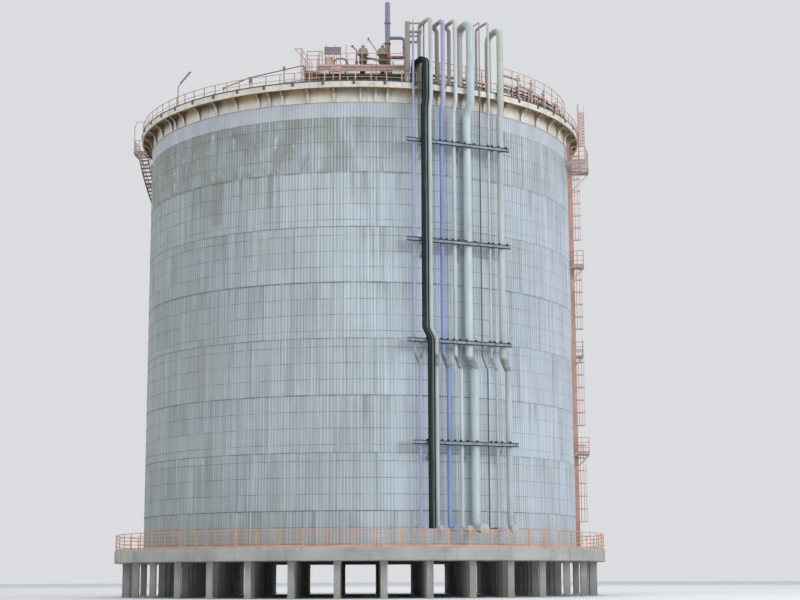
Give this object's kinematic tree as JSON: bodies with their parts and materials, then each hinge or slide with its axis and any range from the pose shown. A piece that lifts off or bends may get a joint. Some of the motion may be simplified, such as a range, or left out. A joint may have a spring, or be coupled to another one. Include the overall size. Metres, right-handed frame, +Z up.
{
  "type": "scale model of a double-wall chemical storage tank",
  "caption": "Domed double-wall storage tank on a raised slab, with ring walkway, pipe rack, cage ladder, winding stair and roof equipment, at half its real size.",
  "frame": {"origin": "on the ground, on the tank's axis", "axes": "+Z up along the tank's axis, -Y towards the pictured front, +X to the right seen from the front"},
  "size_m": [20.34, 20.34, 23.14],
  "materials": {
    "cladding": "satin",
    "roof": "satin",
    "cream_paint": "satin",
    "concrete": "matte",
    "salmon_paint": "satin",
    "beam_paint": "satin",
    "purple_paint": "satin",
    "dark_paint": "satin",
    "green_paint": "satin",
    "pale_pipe": "satin",
    "tank_steel": "brushed",
    "galvanised": "satin",
    "insulation": "matte"
  },
  "bodies": {
    "root": {"foundation_slab": "concrete", "tank_bottom": "insulation", "outer_wall_1": "cladding", "outer_wall_2": "cladding", "outer_wall_3": "cladding", "outer_wall_4": "cladding", "outer_wall_5": "cladding", "outer_wall_6": "cladding", "inner_wall_1": "tank_steel", "inner_wall_2": "tank_steel", "inner_wall_3": "tank_steel", "inner_wall_4": "tank_steel", "roof_dome_1": "roof", "roof_dome_2": "roof", "roof_dome_3": "roof", "roof_dome_4": "roof", "walkway_1": "cream_paint", "walkway_2": "cream_paint", "walkway_3": "cream_paint", "walkway_4": "cream_paint", "slab_rail_1": "salmon_paint", "slab_rail_2": "salmon_paint", "slab_rail_3": "salmon_paint", "slab_rail_4": "salmon_paint", "bracket_beam_1": "beam_paint", "bracket_beam_2": "beam_paint", "bracket_beam_3": "beam_paint", "bracket_beam_4": "beam_paint", "riser_slim": "purple_paint", "riser_dark": "green_paint", "riser_purple": "purple_paint", "riser_cream": "cream_paint", "riser_main": "pale_pipe", "riser_thin": "dark_paint", "riser_small": "cream_paint", "riser_return": "green_paint", "cable_duct": "dark_paint", "ladder_1": "salmon_paint", "ladder_2": "salmon_paint", "ladder_3": "salmon_paint", "ladder_4": "salmon_paint", "ladder_5": "salmon_paint", "ladder_landing_1": "salmon_paint", "ladder_landing_2": "salmon_paint", "ladder_landing_3": "salmon_paint", "ladder_landing_4": "salmon_paint", "stair_1": "salmon_paint", "stair_2": "salmon_paint", "stair_3": "salmon_paint", "roof_platform": "salmon_paint", "roof_stair": "salmon_paint", "relief_valve_1": "green_paint", "relief_valve_2": "green_paint", "instrument_panel": "galvanised", "vent_stack": "purple_paint", "pipe_column": "cream_paint", "light_pole": "galvanised"}
  },
  "joints": []
}
